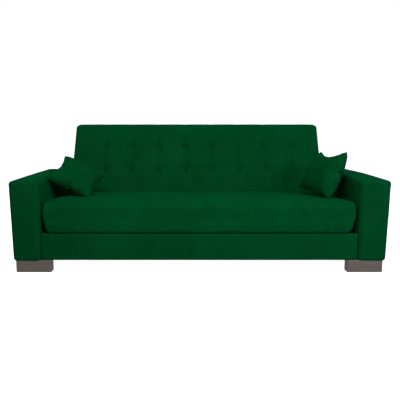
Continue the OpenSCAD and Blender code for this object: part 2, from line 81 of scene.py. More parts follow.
def add_camera():
    data = bpy.data.cameras.new("camera")
    data.sensor_width = SENSOR_MM
    data.lens = LENS_MM
    data.shift_x, data.shift_y = LENS_SHIFT
    camera = bpy.data.objects.new("camera", data)
    arm_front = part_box("arm_cover_left")[0].y
    camera.location = (CAMERA_X, arm_front - CAMERA_DISTANCE, CAMERA_HEIGHT)
    camera.rotation_euler = (math.radians(90) - CAMERA_DIP, 0, 0)
    scene.collection.objects.link(camera)
    scene.camera = camera


def add_lamp(name, at, target, size, power, colour):
    data = bpy.data.lights.new(name, "AREA")
    data.shape = "RECTANGLE"
    data.size, data.size_y = size
    data.energy = power
    data.color = colour
    light = bpy.data.objects.new(name, data)
    light.visible_camera = False
    light.location = at
    light.rotation_euler = (Vector(target) - Vector(at)).to_track_quat("-Z", "Y").to_euler()
    scene.collection.objects.link(light)


def add_world():
    world = bpy.data.worlds.new("studio")
    world.use_nodes = True
    background = world.node_tree.nodes["Background"]
    background.inputs["Color"].default_value = (1, 1, 1, 1)
    background.inputs["Strength"].default_value = WORLD_STRENGTH
    scene.world = world


def add_floor():
    half = FLOOR_HALF
    mesh = bpy.data.meshes.new("floor")
    corners = [(-half, -half, 0), (half, -half, 0), (half, half, 0), (-half, half, 0)]
    mesh.from_pydata(corners, [], [(0, 1, 2, 3)])
    floor = bpy.data.objects.new("floor", mesh)
    scene.collection.objects.link(floor)
    material = bpy.data.materials.new("floor_white")
    material.use_nodes = True
    shader = material.node_tree.nodes["Principled BSDF"]
    shader.inputs["Base Color"].default_value = (0.3, 0.3, 0.3, 1)
    shader.inputs["Roughness"].default_value = 1
    shader.inputs["Specular IOR Level"].default_value = 0
    shader.inputs["Emission Color"].default_value = (1, 1, 1, 1)
    shader.inputs["Emission Strength"].default_value = FLOOR_GLOW
    mesh.materials.append(material)


# ---- Materials ----

class Nodes:
    """Short ways to add and join the nodes of one material."""

    def __init__(self, name, roughness):
        self.material = bpy.data.materials.new(name)
        self.material.use_nodes = True
        self.tree = self.material.node_tree
        self.shader = self.tree.nodes["Principled BSDF"]
        self.shader.inputs["Roughness"].default_value = roughness
        self.coordinates = self.tree.nodes.new("ShaderNodeTexCoord").outputs["Object"]

    def join(self, source, target):
        self.tree.links.new(source, target)

    def stretched(self, scale, turn=(0, 0, 0)):
        """The piece's coordinates, turned and scaled."""
        node = self.tree.nodes.new("ShaderNodeMapping")
        node.inputs["Rotation"].default_value = turn
        node.inputs["Scale"].default_value = scale
        self.join(self.coordinates, node.inputs["Vector"])
        return node.outputs["Vector"]

    def noise(self, scale, detail, vector=None, distortion=0):
        node = self.tree.nodes.new("ShaderNodeTexNoise")
        node.inputs["Scale"].default_value = scale
        node.inputs["Detail"].default_value = detail
        node.inputs["Distortion"].default_value = distortion
        self.join(vector or self.coordinates, node.inputs["Vector"])
        return node.outputs["Fac"]

    def wave(self, scale, distortion, vector, direction):
        """Bands across one direction, about three to the metre for each unit of scale."""
        node = self.tree.nodes.new("ShaderNodeTexWave")
        node.bands_direction = direction
        node.inputs["Scale"].default_value = scale
        node.inputs["Distortion"].default_value = distortion
        self.join(vector, node.inputs["Vector"])
        return node.outputs["Fac"]

    def math(self, operation, a, b):
        node = self.tree.nodes.new("ShaderNodeMath")
        node.operation = operation
        for socket, value in zip(node.inputs, (a, b)):
            if isinstance(value, (int, float)):
                socket.default_value = value
            else:
                self.join(value, socket)
        return node.outputs["Value"]

    def blend(self, first, second, share):
        """This share of the first value, and the rest of the second."""
        return self.math("ADD", self.math("MULTIPLY", first, share),
                         self.math("MULTIPLY", second, 1 - share))

    def ramp(self, fac, stops):
        """Colours along a factor; stops are (position, colour)."""
        node = self.tree.nodes.new("ShaderNodeValToRGB")
        elements = node.color_ramp.elements
        while len(elements) < len(stops):
            elements.new(0.5)
        for element, (position, colour) in zip(elements, stops):
            element.position = position
            element.color = (*colour, 1)
        self.join(fac, node.inputs["Fac"])
        return node.outputs["Color"]

    def between(self, fac, low, high):
        node = self.tree.nodes.new("ShaderNodeMapRange")
        node.inputs["To Min"].default_value = low
        node.inputs["To Max"].default_value = high
        self.join(fac, node.inputs["Value"])
        return node.outputs["Result"]

    def bump(self, height, strength, distance, under=None):
        node = self.tree.nodes.new("ShaderNodeBump")
        node.inputs["Strength"].default_value = strength
        node.inputs["Distance"].default_value = distance
        self.join(height, node.inputs["Height"])
        if under is not None:
            self.join(under, node.inputs["Normal"])
        return node.outputs["Normal"]

    def finish(self, colour, roughness=None, normal=None):
        self.join(colour, self.shader.inputs["Base Color"])
        if roughness is not None:
            self.join(roughness, self.shader.inputs["Roughness"])
        if normal is not None:
            self.join(normal, self.shader.inputs["Normal"])
        return self.material


def suede(name, dark, light):
    """Brushed suede: soft patches where the nap lies one way or the other, and fine fibre."""
    n = Nodes(name, 0.85)
    patches = n.noise(3.2, 4, distortion=0.5)
    strokes = n.noise(1, 4, n.stretched((26, 26, 9), (0.35, 0.25, 0.1)))
    fibre = n.noise(900, 2)
    nap = n.blend(patches, strokes, 0.55)
    colour = n.ramp(n.blend(nap, fibre, 0.88), [(0.34, dark), (0.66, light)])
    soft = n.bump(strokes, 0.12, 4 * MM)
    normal = n.bump(fibre, 0.35, 0.6 * MM, soft)
    n.shader.inputs["Specular IOR Level"].default_value = 0.0
    n.shader.inputs["Sheen Weight"].default_value = 0.025
    n.shader.inputs["Sheen Roughness"].default_value = 0.4
    n.shader.inputs["Sheen Tint"].default_value = (0.0, 0.6, 0.22, 1)
    return n.finish(colour, n.between(patches, 0.78, 0.95), normal)


def wood(name, dark, light, rings, roughness):
    """Wood with its grain along X. rings is the scale of its growth rings."""
    n = Nodes(name, roughness)
    n.shader.inputs["Specular IOR Level"].default_value = 0.25
    along, across = 0.9, 14
    grain_space = n.stretched((along, across, across))
    grain = n.noise(3.2, 6, grain_space, distortion=0.8)
    bands = n.wave(rings, 5.5, n.stretched((along / across, 1, 1)), "Z")
    pores = n.noise(26, 3, grain_space)
    speckled = n.blend(n.blend(grain, bands, 0.7), pores, 0.8)
    colour = n.ramp(speckled, [(0.28, dark), (0.72, light)])
    return n.finish(colour, n.between(grain, roughness - 0.1, roughness + 0.15),
                    n.bump(speckled, 0.25, 0.5 * MM))


def speckled_surface(name, dark, light, scale, roughness, bump=0.2, metallic=0.0, specular=0.2):
    """Plastic, rubber, foam, board, lining or plated steel: small speckles within larger
    patches. scale is about the number of speckles to the metre."""
    n = Nodes(name, roughness)
    n.shader.inputs["Metallic"].default_value = metallic
    n.shader.inputs["Specular IOR Level"].default_value = specular
    coarse = n.noise(scale / 20, 4)
    fine = n.noise(scale, 3)
    colour = n.ramp(n.blend(coarse, fine, 0.5), [(0.35, dark), (0.65, light)])
    return n.finish(colour, n.between(coarse, roughness - 0.08, roughness + 0.08),
                    n.bump(fine, bump, 0.4 * MM))


def woven(name, dark, light, scale):
    """A plain weave in the plane of X and Z, about three threads to the metre for each unit
    of scale."""
    n = Nodes(name, 0.9)
    warp = n.wave(scale, 0.4, n.coordinates, "X")
    weft = n.wave(scale, 0.4, n.coordinates, "Z")
    cloth = n.math("MAXIMUM", warp, weft)
    colour = n.ramp(n.blend(cloth, n.noise(60, 3), 0.6), [(0.3, dark), (0.8, light)])
    return n.finish(colour, normal=n.bump(cloth, 0.3, 0.4 * MM))


MATERIALS = {
    "suede": suede("suede_green", (0.0001, 0.0104, 0.0026), (0.0002, 0.0141, 0.0039)),
    "foot_wood": wood("foot_walnut", (0.0136, 0.0100, 0.0082), (0.0258, 0.0193, 0.0162), 24, 0.55),
    "timber": wood("pine", (0.30, 0.185, 0.088), (0.50, 0.345, 0.19), 7, 0.7),
    # Painted shade: a dark stain on the box's boards, so that where they show through the gaps
    # they read as shadow
    "shade_stained_timber": wood("shade_stained_pine", (0.020, 0.013, 0.009), (0.042, 0.028, 0.019), 7, 0.6),
    "hardboard": speckled_surface("hardboard", (0.16, 0.09, 0.045), (0.27, 0.16, 0.08), 500, 0.75),
    "zinc_steel": speckled_surface("zinc_steel", (0.24, 0.245, 0.25), (0.36, 0.365, 0.37), 260,
                                   0.45, bump=0.06, metallic=1.0),
    "foam": speckled_surface("foam", (0.60, 0.52, 0.30), (0.80, 0.73, 0.48), 700, 0.95, bump=0.5),
    "webbing": woven("webbing", (0.02, 0.018, 0.016), (0.10, 0.08, 0.06), 700 / 6),
    "lining": speckled_surface("lining", (0.003, 0.003, 0.0032), (0.011, 0.011, 0.0115), 1300, 0.9,
                               bump=0.4),
    "rubber": speckled_surface("rubber", (0.002, 0.002, 0.002), (0.006, 0.006, 0.006), 600, 0.95,
                               specular=0),
    "glide_plastic": speckled_surface("glide_plastic", (0.015, 0.015, 0.016),
                                      (0.035, 0.035, 0.036), 400, 0.5),
}

# The CAD nodes that are shown as they are
NODE_MATERIALS = {
    "timber": ["bottom_crossbars", "panel_cleats", "arm_posts_left", "arm_posts_right",
               "arm_rails_left", "arm_rails_right", "seat_rail_front", "seat_rail_rear",
               "seat_bearers", "seat_slats", "back_rail_top", "back_rail_bottom",
               "back_uprights"],
    # Boards coloured dark as painted shade, for where they show through gaps
    "shade_stained_timber": ["front_board", "side_board_left", "side_board_right", "rear_board",
                       "corner_blocks"],
    "hardboard": ["bottom_panel", "arm_panels_left", "arm_panels_right"],
    "zinc_steel": ["foot_bolts", "arm_bolts", "pivot_bracket_left", "pivot_bracket_right",
                   "bracket_screws", "pivot_pin_left", "pivot_pin_right", "seat_plate_left",
                   "seat_plate_right", "seat_plate_screws", "pawl_pins", "pawl_springs",
                   "pawl_left", "pawl_right", "back_plate_left", "back_plate_right",
                   "back_plate_screws", "pivot_washers"],
    "rubber": ["seat_bumpers"],
    "glide_plastic": ["foot_glides"],
}


def finish_cad_nodes():
    for material, names in NODE_MATERIALS.items():
        for name in names:
            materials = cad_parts[name].data.materials
            materials.clear()
            materials.append(MATERIALS[material])


# ---- Shaping tools ----

def smooth(low, high, values):
    """0 below low, 1 above high and a smooth rise between them."""
    t = np.clip((values - low) / (high - low), 0, 1)
    return t * t * (3 - 2 * t)


def hump(centre, half_width, values):
    """1 at centre, falling smoothly to 0 at half_width away."""
    t = np.clip(np.abs(values - centre) / half_width, 0, 1)
    return (1 - t * t) ** 2


def wrinkle(points, size, seed):
    """Smooth noise from -1 to 1; size is the width of its features along X, Y and Z."""
    shift = Vector((seed * 17.3, seed * 5.1, seed * 9.7))
    scaled = points / np.array(size)
    return np.array([noise.noise(Vector(p) + shift) for p in scaled])


def add_piece(name, mesh, slot, body):
    """A new smooth-shaded piece, in its material and on its body."""
    mesh.materials.append(MATERIALS[slot])
    mesh.shade_smooth()
    piece = bpy.data.objects.new(name, mesh)
    scene.collection.objects.link(piece)
    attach(piece, body)
    return piece


def piece_of(name, points, faces, slot, body):
    """A piece from its points and faces. faces are lists of point numbers."""
    mesh = bpy.data.meshes.new(name)
    mesh.from_pydata([tuple(p) for p in points], [], faces)
    return add_piece(name, mesh, slot, body)


def read_points(piece, attribute):
    values = np.empty(len(piece.data.vertices) * 3)
    piece.data.vertices.foreach_get(attribute, values)
    return values.reshape(-1, 3)


def points_of(piece):
    return read_points(piece, "co")


def normals_of(piece):
    return read_points(piece, "normal")


def move_points(piece, points):
    piece.data.vertices.foreach_set("co", np.ascontiguousarray(points, float).ravel())
    piece.data.update()


def push(piece, distances):
    """Moves each point along its normal."""
    move_points(piece, points_of(piece) + normals_of(piece) * np.asarray(distances)[:, None])


def bake_modifiers(piece):
    """Replaces a piece's mesh by what its modifiers make of it."""
    evaluated = piece.evaluated_get(bpy.context.evaluated_depsgraph_get())
    mesh = bpy.data.meshes.new_from_object(evaluated)
    piece.modifiers.clear()
    old, piece.data = piece.data, mesh
    bpy.data.meshes.remove(old)


def remesh(piece, voxel):
    modifier = piece.modifiers.new("remesh", "REMESH")
    modifier.mode = "VOXEL"
    modifier.voxel_size = voxel
    bake_modifiers(piece)


def subdivide(piece):
    modifier = piece.modifiers.new("subdivision", "SUBSURF")
    modifier.levels = modifier.render_levels = 1
    bake_modifiers(piece)


def ease(piece, rounds):
    """Softens the sharpest folds of a mesh."""
    modifier = piece.modifiers.new("ease", "SMOOTH")
    modifier.factor = 0.5
    modifier.iterations = rounds
    bake_modifiers(piece)


def inflate(piece, pressure, frames, held=None, cap=None, mass=0.3, bending=0.5):
    """Blows a closed mesh up as cloth. held gives how firmly each point is pinned, 0 to 1, and
    cap how far it may move at most."""
    start = points_of(piece)
    modifier = piece.modifiers.new("cloth", "CLOTH")
    settings = modifier.settings
    settings.quality = 6
    settings.mass = mass
    settings.tension_stiffness = settings.compression_stiffness = 15
    settings.bending_stiffness = bending
    settings.use_pressure = True
    settings.uniform_pressure_force = pressure
    settings.effector_weights.gravity = 0
    if held is not None:
        group = piece.vertex_groups.new(name="held")
        for weight in np.unique(np.round(held, 1)):
            if weight > 0:
                members = np.nonzero(np.round(held, 1) == weight)[0]
                group.add([int(i) for i in members], float(weight), "REPLACE")
        settings.vertex_group_mass = "held"
    modifier.point_cache.frame_start = 1
    modifier.point_cache.frame_end = frames
    for step in range(1, frames + 1):
        scene.frame_set(step)
    bake_modifiers(piece)
    piece.vertex_groups.clear()
    scene.frame_set(1)
    if cap is not None:
        moved = points_of(piece) - start
        far = np.linalg.norm(moved, axis=1) + 1e-9
        kept = np.minimum(1, np.asarray(cap) / far)
        move_points(piece, start + moved * kept[:, None])


def outline(corners):
    """A closed outline through (y, z, radius) corners, in order, with each corner rounded."""
    step = 6 * MM
    points = []
    count = len(corners)
    for i, (y, z, radius) in enumerate(corners):
        here = Vector((y, z))
        before = Vector(corners[i - 1][:2]) - here
        after = Vector(corners[(i + 1) % count][:2]) - here
        if radius == 0:
            points.append(here)
            continue
        half = before.angle(after) / 2
        reach = radius / math.tan(half)
        inwards = (before.normalized() + after.normalized()).normalized()
        centre = here + inwards * radius / math.sin(half)
        first = here + before.normalized() * reach - centre
        last = here + after.normalized() * reach - centre
        steps = max(2, round(first.angle(last) * radius / step))
        for k in range(steps + 1):
            points.append(centre + first.slerp(last, k / steps) * radius)
    return points


def fix_normals(piece):
    shape = bmesh.new()
    shape.from_mesh(piece.data)
    bmesh.ops.recalc_face_normals(shape, faces=shape.faces)
    shape.to_mesh(piece.data)
    shape.free()


def spread(low, high, step):
    """Evenly spaced places from low to high, about step apart."""
    count = max(1, round((high - low) / step))
    return list(np.linspace(low, high, count + 1))


def rounded_box(name, low, high, radius, step, slot, body, cuts=((), (), ())):
    """A box with rounded edges, its faces divided into squares of about step. cuts gives
    extra places along X, Y and Z where the faces are divided, for a seam."""
    shape = bmesh.new()
    bmesh.ops.create_cube(shape, size=1)
    low, high = Vector(low), Vector(high)
    for vertex in shape.verts:
        vertex.co = [low[i] if vertex.co[i] < 0 else high[i] for i in range(3)]
    for axis in range(3):
        round_edge = [radius * t for t in (0.2, 0.45, 0.7, 1)]
        places = spread(low[axis] + radius, high[axis] - radius, step)
        places += [low[axis] + e for e in round_edge] + [high[axis] - e for e in round_edge]
        places = sorted(set(round(p, 5) for p in places + list(cuts[axis])))
        normal = Vector([float(i == axis) for i in range(3)])
        for place in places:
            geometry = shape.verts[:] + shape.edges[:] + shape.faces[:]
            bmesh.ops.bisect_plane(shape, geom=geometry, dist=1e-6, plane_co=normal * place,
                                   plane_no=normal)
    for vertex in shape.verts:
        inner = Vector([min(max(vertex.co[i], low[i] + radius), high[i] - radius)
                        for i in range(3)])
        vertex.co = inner + (vertex.co - inner).normalized() * radius
    mesh = bpy.data.meshes.new(name)
    shape.to_mesh(mesh)
    shape.free()
    return add_piece(name, mesh, slot, body)


def grid_of(rows):
    """A grid of points, and the same points as one list. Moving those moves the grid's."""
    grid = np.array(rows, float)
    return grid, grid.reshape(-1, 3)


def shell(name, outer, thickness, slot, body):
    """A thin closed sheet. outer is a grid of points on its outer face, as rows of columns;
    the inner face lies thickness behind it."""
    along = np.gradient(outer, axis=1)
    across = np.gradient(outer, axis=0)
    normal = np.cross(along, across)
    normal /= np.linalg.norm(normal, axis=2, keepdims=True)
    inner = outer - normal * thickness
    count_r, count_c = outer.shape[:2]
    points = np.concatenate([outer.reshape(-1, 3), inner.reshape(-1, 3)])
    back = count_r * count_c

    def at(r, c):
        return r * count_c + c

    faces = []
    for r in range(count_r - 1):
        for c in range(count_c - 1):
            quad = [at(r, c), at(r, c + 1), at(r + 1, c + 1), at(r + 1, c)]
            faces += [quad, [back + i for i in reversed(quad)]]
    border = [at(0, c) for c in range(count_c)]
    border += [at(r, count_c - 1) for r in range(1, count_r)]
    border += [at(count_r - 1, c) for c in range(count_c - 2, -1, -1)]
    border += [at(r, 0) for r in range(count_r - 2, 0, -1)]
    for a, b in zip(border, border[1:] + border[:1]):
        faces.append([b, a, back + a, back + b])
    return piece_of(name, points, faces, slot, body)


# ---- Arms, front rail and feet ----

# Radius of an arm's edges, and how far its top is stuffed up: the right arm is plumper
ARM_STUFFING = {LEFT: (23 * MM, 5 * MM), RIGHT: (24 * MM, 17 * MM)}

# How far the outer face of an arm leans out at the top, and in at the floor
ARM_LEAN = {LEFT: (3 * MM, 9 * MM), RIGHT: (5 * MM, 6 * MM)}

ARM_OVERHANG = 8 * MM        # how far the padding hangs over the tops of the feet
ARM_CROWN = 2.5 * MM         # how far it swells in the middle of a face
WELT_INSET = 9 * MM          # from an arm's front or rear face to the seam round it
WELT_HALF, WELT_DEPTH = 4 * MM, 1.6 * MM


def add_arm(side):
    name = "arm_cover_" + SIDE_NAMES[side]
    low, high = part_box(name)
    low.z -= ARM_OVERHANG
    seam_y = [low.y + WELT_INSET, high.y - WELT_INSET]
    cuts = [y + d * MM for y in seam_y for d in (-4, -1.5, 0, 1.5, 4)]
    radius, fill = ARM_STUFFING[side]
    piece = rounded_box("arm_" + SIDE_NAMES[side], low, high, radius, 13 * MM, "suede", "base",
                        ((), cuts, ()))
    p = points_of(piece)
    u = (p - np.array(low)) / np.array(high - low)
    # The top is stuffed up, and the other faces swell a little above the flat foot of the arm
    crown = 1 - (1 - hump(0.5, 0.6, u[:, 0])) * 0.6
    crown = crown * (0.5 + 0.5 * hump(0.5, 0.6, u[:, 1])) * fill * smooth(0.93, 1, u[:, 2])
    normal = normals_of(piece)
    outwards = np.abs(normal[:, 0]) * (np.sign(normal[:, 0]) == side)
    swell = hump(0.55, 0.6, u[:, 2]) * ARM_CROWN
    crown += outwards * hump(0.5, 0.55, u[:, 1]) * swell
    crown += np.abs(normal[:, 1]) * hump(0.5, 0.55, u[:, 0]) * swell
    # Welted seams round the front and rear panels
    for y in seam_y:
        crown -= hump(y, WELT_HALF, p[:, 1]) * WELT_DEPTH * smooth(0.0, 0.05, u[:, 2])
    crown += (wrinkle(p, (0.09, 0.12, 0.16), 3 + side) - 0.3) * 0.9 * MM
    push(piece, crown)
    p = points_of(piece)
    outer = smooth(0, 1, u[:, 0] if side == RIGHT else 1 - u[:, 0])
    top_lean, floor_lean = ARM_LEAN[side]
    p[:, 0] += side * outer * (u[:, 2] * top_lean - (1 - u[:, 2]) * floor_lean)
    move_points(piece, p)
    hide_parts(name)


def add_front_rail():
    """The cover of the box's front, folded over its top edge and curved back at its ends."""
    low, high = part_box("front_rail_cover")
    bend, tuck = 11 * MM, 9 * MM  # radii of the fold and of the ends
    fold_steps = 5
    path = [(low.y, z) for z in spread(low.z, high.z - bend, 9 * MM)]
    for k in range(1, fold_steps + 1):
        angle = math.radians(90) * k / fold_steps
        path.append((low.y + bend * (1 - math.cos(angle)),
                     high.z - bend * (1 - math.sin(angle))))
    path += [(y, high.z) for y in spread(low.y + bend, high.y, 8 * MM)[1:]]
    reach = high.x + 1.5 * MM
    columns = spread(-reach + tuck, reach - tuck, 10 * MM)
    ends = [tuck * t for t in (0, 0.2, 0.45, 0.7, 0.85)]
    columns = [-reach + e for e in ends] + columns + [reach - e for e in reversed(ends)]
    grid, flat = grid_of([[(x, y, z) for x in columns] for y, z in path])
    on_front = smooth(high.z, high.z - 25 * MM, flat[:, 2])
    near_end = hump(low.x, 60 * MM, flat[:, 0]) + hump(high.x, 60 * MM, flat[:, 0])
    past = np.clip(np.abs(flat[:, 0]) - reach + tuck, 0, tuck)
    flat[:, 1] += tuck - np.sqrt(tuck ** 2 - past ** 2)
    relief = wrinkle(flat, (0.16, 1, 0.07), 11) * 1.6
    relief += wrinkle(flat, (0.045, 1, 0.11), 12) * near_end * 1.5
    relief += wrinkle(flat, (0.05, 1, 0.2), 13) * hump(low.z, 30 * MM, flat[:, 2])
    flat[:, 1] += (relief * MM + 1.2 * MM) * on_front
    piece = shell("front_rail", grid, 3 * MM, "suede", "base")
    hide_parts("front_rail_cover")


def add_foot(end, side):
    name = f"{end}_foot_{SIDE_NAMES[side]}"
    low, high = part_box(name)
    piece = rounded_box(f"{end}_foot_block_{SIDE_NAMES[side]}", low, high, 2.5 * MM, 20 * MM,
                        "foot_wood", "base")
    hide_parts(name)


# ---- Seat and back ----

pin_low, pin_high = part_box("pivot_pin_left")
PIVOT = Vector((0, (pin_low.y + pin_high.y) / 2, (pin_low.z + pin_high.z) / 2))
SEAT_TILT = math.radians(3)
BACK_LEAN = math.radians(22)
SOFT = 60 * MM               # from the pivots to the seat's top and to the back's front
GAP = 3 * MM
CUSHION_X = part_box("seat_cover")[1].x
BLOCK_INSET = 2 * MM         # of a cushion's block at each end, before it is blown up
SEAT_REACH = 688 * MM        # from the pivots to the seat's front
SEAT_BOTTOM = -121 * MM
BACK_REACH = 588 * MM        # from the pivots to the back's top
BACK_REAR = 90 * MM
FOLD = math.radians(90) - BACK_LEAN + SEAT_TILT

# How far the lower front corner of the seat is drawn in at each end
CORNER_DRAW = {LEFT: 27 * MM, RIGHT: 40 * MM}
SEAT_LIP = 8 * MM            # how far the cover's front edge hangs below the frame


def lean(piece, angle):
    """Turns a piece from its unit's upright frame into its place about the pivots."""
    piece.data.transform(Matrix.Translation(PIVOT) @ Matrix.Rotation(-angle, 4, "X"))
    piece.data.update()


def cushion_block(name, corners, body):
    """A cushion's plain block: a rounded outline, seen from the side, carried along X."""
    ring = outline(corners)
    count = len(ring)
    reach = CUSHION_X - BLOCK_INSET
    points = [(x, p.x, p.y) for x in (-reach, reach) for p in ring]
    faces = [[i, (i + 1) % count, count + (i + 1) % count, count + i] for i in range(count)]
    faces += [list(range(count))[::-1], list(range(count, 2 * count))]
    piece = piece_of(name, points, faces, "suede", body)
    fix_normals(piece)
    return piece


def add_seat():
    inset = 4 * MM
    front = -SEAT_REACH + inset
    rear = SOFT - 1 * MM
    corners = [(front, SEAT_BOTTOM, 13 * MM), (rear - 2 * MM, SEAT_BOTTOM, 10 * MM),
               (rear, SOFT, SOFT - 4 * MM), (front, SOFT - inset / 2, 44 * MM)]
    piece = cushion_block("seat_cushion", corners, "seat")
    remesh(piece, 10 * MM)
    p = points_of(piece)
    above = smooth(SEAT_BOTTOM, SEAT_BOTTOM + 30 * MM, p[:, 2])
    still = 1 - smooth(0.0, -0.12, p[:, 1]) * above
    room = np.where(np.abs(p[:, 0]) > CUSHION_X - 5 * MM, 4 * MM, 9 * MM)
    inflate(piece, pressure=4, frames=14, held=still, cap=room)
    p = points_of(piece)
    # The lower corners of the front are drawn in and tucked under
    low_share = np.clip((-0.02 - p[:, 2]) / 0.095, 0, 1) ** 1.6
    near_front = smooth(-0.625, -0.682, p[:, 1])
    at_end = smooth(CUSHION_X - 0.14, CUSHION_X, np.abs(p[:, 0]))
    side = np.sign(p[:, 0])
    draw = np.where(side < 0, CORNER_DRAW[LEFT], CORNER_DRAW[RIGHT])
    p[:, 0] -= side * at_end * near_front * low_share * draw
    p[:, 1] += at_end * near_front * low_share * 4 * MM
    lip = smooth(-0.640, -0.668, p[:, 1])
    lip *= smooth(SEAT_BOTTOM + 60 * MM, SEAT_BOTTOM + 10 * MM, p[:, 2])
    p[:, 2] -= lip * SEAT_LIP
    # Its ends swell against the arms
    p[:, 0] += side * smooth(-0.32, -0.45, p[:, 1]) * at_end * hump(-0.02, 0.10, p[:, 2]) * 5 * MM
    move_points(piece, p)
    # Relief in mm: slack on the top, small waves on the front and creases at the front corners
    n = normals_of(piece)
    off_fold = smooth(0.0, -0.10, p[:, 1])
    top = np.clip(n[:, 2], 0, 1) * off_fold
    face = np.clip(-n[:, 1], 0, 1)
    relief = top * (wrinkle(p, (0.30, 0.045, 1), 21) * 2.2 * smooth(-0.45, -0.15, p[:, 1])
                    + wrinkle(p, (0.22, 0.18, 1), 22) * 1.6)
    relief += face * (wrinkle(p, (0.26, 1, 0.09), 23) * 1.6
                      + wrinkle(p, (0.07, 1, 0.05), 24) * 0.8)
    creases = wrinkle(p, (0.05, 0.12, 0.028), 25)
    relief += at_end * near_front * (1 - 0.5 * low_share) * creases * 4.0 * off_fold
    push(piece, relief * MM)
    subdivide(piece)
    lean(piece, SEAT_TILT)
    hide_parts("seat_cover", "seat_foam")


TUFT_ROWS = [215 * MM, 401 * MM]
TUFT_PITCH = 203 * MM
TUFT_COLUMNS = 8
TUFT_SHIFT = 15 * MM         # of the middle of the columns, to the right
TUFT_XS = [(i - (TUFT_COLUMNS - 1) / 2) * TUFT_PITCH + TUFT_SHIFT for i in range(TUFT_COLUMNS)]
TUFT_RADIUS = 36 * MM
ROW_REACH = 0.86             # how far from the middle the dips along the rows end
BACK_FOOT = 60 * MM          # height at which the back's face rises out of the seat

# The share by which the back's face narrows towards its top, at each end
BACK_TAPER = {LEFT: 0.016, RIGHT: 0.009}


def tuft_depths(p):
    """How far the tufts draw each point in. They are shallower towards the right."""
    depths = np.zeros(len(p))
    for x in TUFT_XS:
        deepest = (19 - 6 * smooth(-0.2, 0.7, x)) * MM
        for z in TUFT_ROWS:
            r = np.hypot(p[:, 0] - x, p[:, 2] - z)
            depths = np.maximum(depths, deepest * (1 - np.clip(r / TUFT_RADIUS, 0, 1)) ** 2)
    return depths


def channel_relief(p):
    """Relief of the back's face, in mm. It swells between its vertical channels, which fade
    towards the seat, and dips along the rows of tufts."""
    across = (p[:, 0] - TUFT_XS[0]) / TUFT_PITCH
    last = TUFT_COLUMNS - 1
    swell = 1 - np.abs(2 * (across % 1) - 1) ** 3
    swell *= smooth(-0.75, -0.45, across) * smooth(last + 0.75, last + 0.45, across)
    fade = smooth(0.08, 0.24, p[:, 2]) * (1 - 0.45 * smooth(0.42, 0.56, p[:, 2]))
    relief = (swell - 0.6) * 9 * fade
    for x in TUFT_XS:
        relief -= hump(x, 18 * MM, p[:, 0]) * 3.5 * fade
    for z in TUFT_ROWS:
        relief -= hump(z, 26 * MM, p[:, 2]) * 2.2 * (np.abs(p[:, 0]) < ROW_REACH)
    return relief


def add_back():
    inset = 5 * MM
    crease = SOFT * math.tan(FOLD / 2)
    corners = [(-SOFT + 1 * MM, crease + 1 * MM, 1 * MM),
               (-SOFT * math.cos(FOLD), SOFT * math.sin(FOLD) + GAP + 1 * MM, 0),
               (0, SOFT + 3 * MM, 0), (BACK_REAR, SOFT + 3 * MM, 18 * MM),
               (BACK_REAR, BACK_REACH, 36 * MM), (-SOFT + inset, BACK_REACH, 36 * MM)]
    piece = cushion_block("back_cushion", corners, "back")
    remesh(piece, 9 * MM)
    round_upper_corners(piece)
    p = points_of(piece)
    face = np.clip(-normals_of(piece)[:, 1], 0, 1) ** 2
    down = tuft_depths(p)
    push(piece, -down * face)
    p = points_of(piece)
    held = 1 - face * smooth(BACK_FOOT, 0.12, p[:, 2])
    held = np.maximum(held, (down > 7 * MM) * 1.0)
    inflate(piece, pressure=4, frames=14, held=held, cap=12 * MM)
    p = points_of(piece)
    relief = channel_relief(p)
    relief += wrinkle(p, (0.10, 1, 0.16), 31) + wrinkle(p, (0.05, 1, 0.09), 32) * 0.6
    push(piece, relief * face * MM)
    # The face tapers upwards, and the rear is widened a little to cover the frame
    p = points_of(piece)
    height = np.clip((p[:, 2] - BACK_FOOT) / (BACK_REACH - BACK_FOOT), 0, 1)
    over_frame = smooth(0.01, 0.045, p[:, 1])
    taper = np.where(p[:, 0] < 0, BACK_TAPER[LEFT], BACK_TAPER[RIGHT]) * height * (1 - over_frame)
    p[:, 0] *= 1 - taper + 0.0055 * over_frame
    # The lower edge rests on the seat
    p[:, 2] -= smooth(0.075, 0.045, p[:, 2]) * smooth(0, -0.03, p[:, 1]) * 4 * MM
    move_points(piece, p)
    subdivide(piece)
    lean(piece, BACK_LEAN)
    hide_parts("back_cover", "back_foam")


def round_upper_corners(piece):
    """Rounds the two upper corners in the front view."""
    p = points_of(piece)
    radius = 32 * MM
    for side in (LEFT, RIGHT):
        cx, cz = CUSHION_X - BLOCK_INSET - radius, BACK_REACH - radius
        dx = side * p[:, 0] - cx
        dz = p[:, 2] - cz
        corner = (dx > 0) & (dz > 0)
        reach = np.hypot(dx, dz)
        square = np.maximum(dx, dz)
        scale = np.where(reach > 0, square / np.maximum(reach, 1e-9), 1)
        p[corner, 0] = side * (cx + dx * scale)[corner]
        p[corner, 2] = (cz + dz * scale)[corner]
    move_points(piece, p)


# ---- Cloth panels, webbing and tuft ties ----

HEM_WIDTH = 14 * MM
STITCH_LINE = 11 * MM        # from the edge
STITCH_PITCH = 14 * MM


def hemmed(low, high, step):
    """Places from low to high, closer together over the hem at each end."""
    hem = [d * MM for d in (0, 3, 6, 9, 11, 13, 15, 18)]
    middle = spread(low + 26 * MM, high - 26 * MM, step)
    return [low + d for d in hem] + middle + [high - d for d in reversed(hem)]


def hem_height(flat, xs, others, other):
    """How far a panel's doubled edge stands out and its row of stitches lies in, in mm. other
    is the axis across the panel, and others are the places along it."""
    edge = np.minimum(xs[-1] - np.abs(flat[:, 0]),
                      np.minimum(flat[:, other] - min(others), max(others) - flat[:, other]))
    stitches = 0.6 + 0.4 * np.cos(2 * np.pi * (flat[:, 0] + flat[:, other]) / STITCH_PITCH)
    step = smooth(HEM_WIDTH, HEM_WIDTH - 4 * MM, edge) * 1.3
    return step - hump(STITCH_LINE, 3 * MM, edge) * stitches


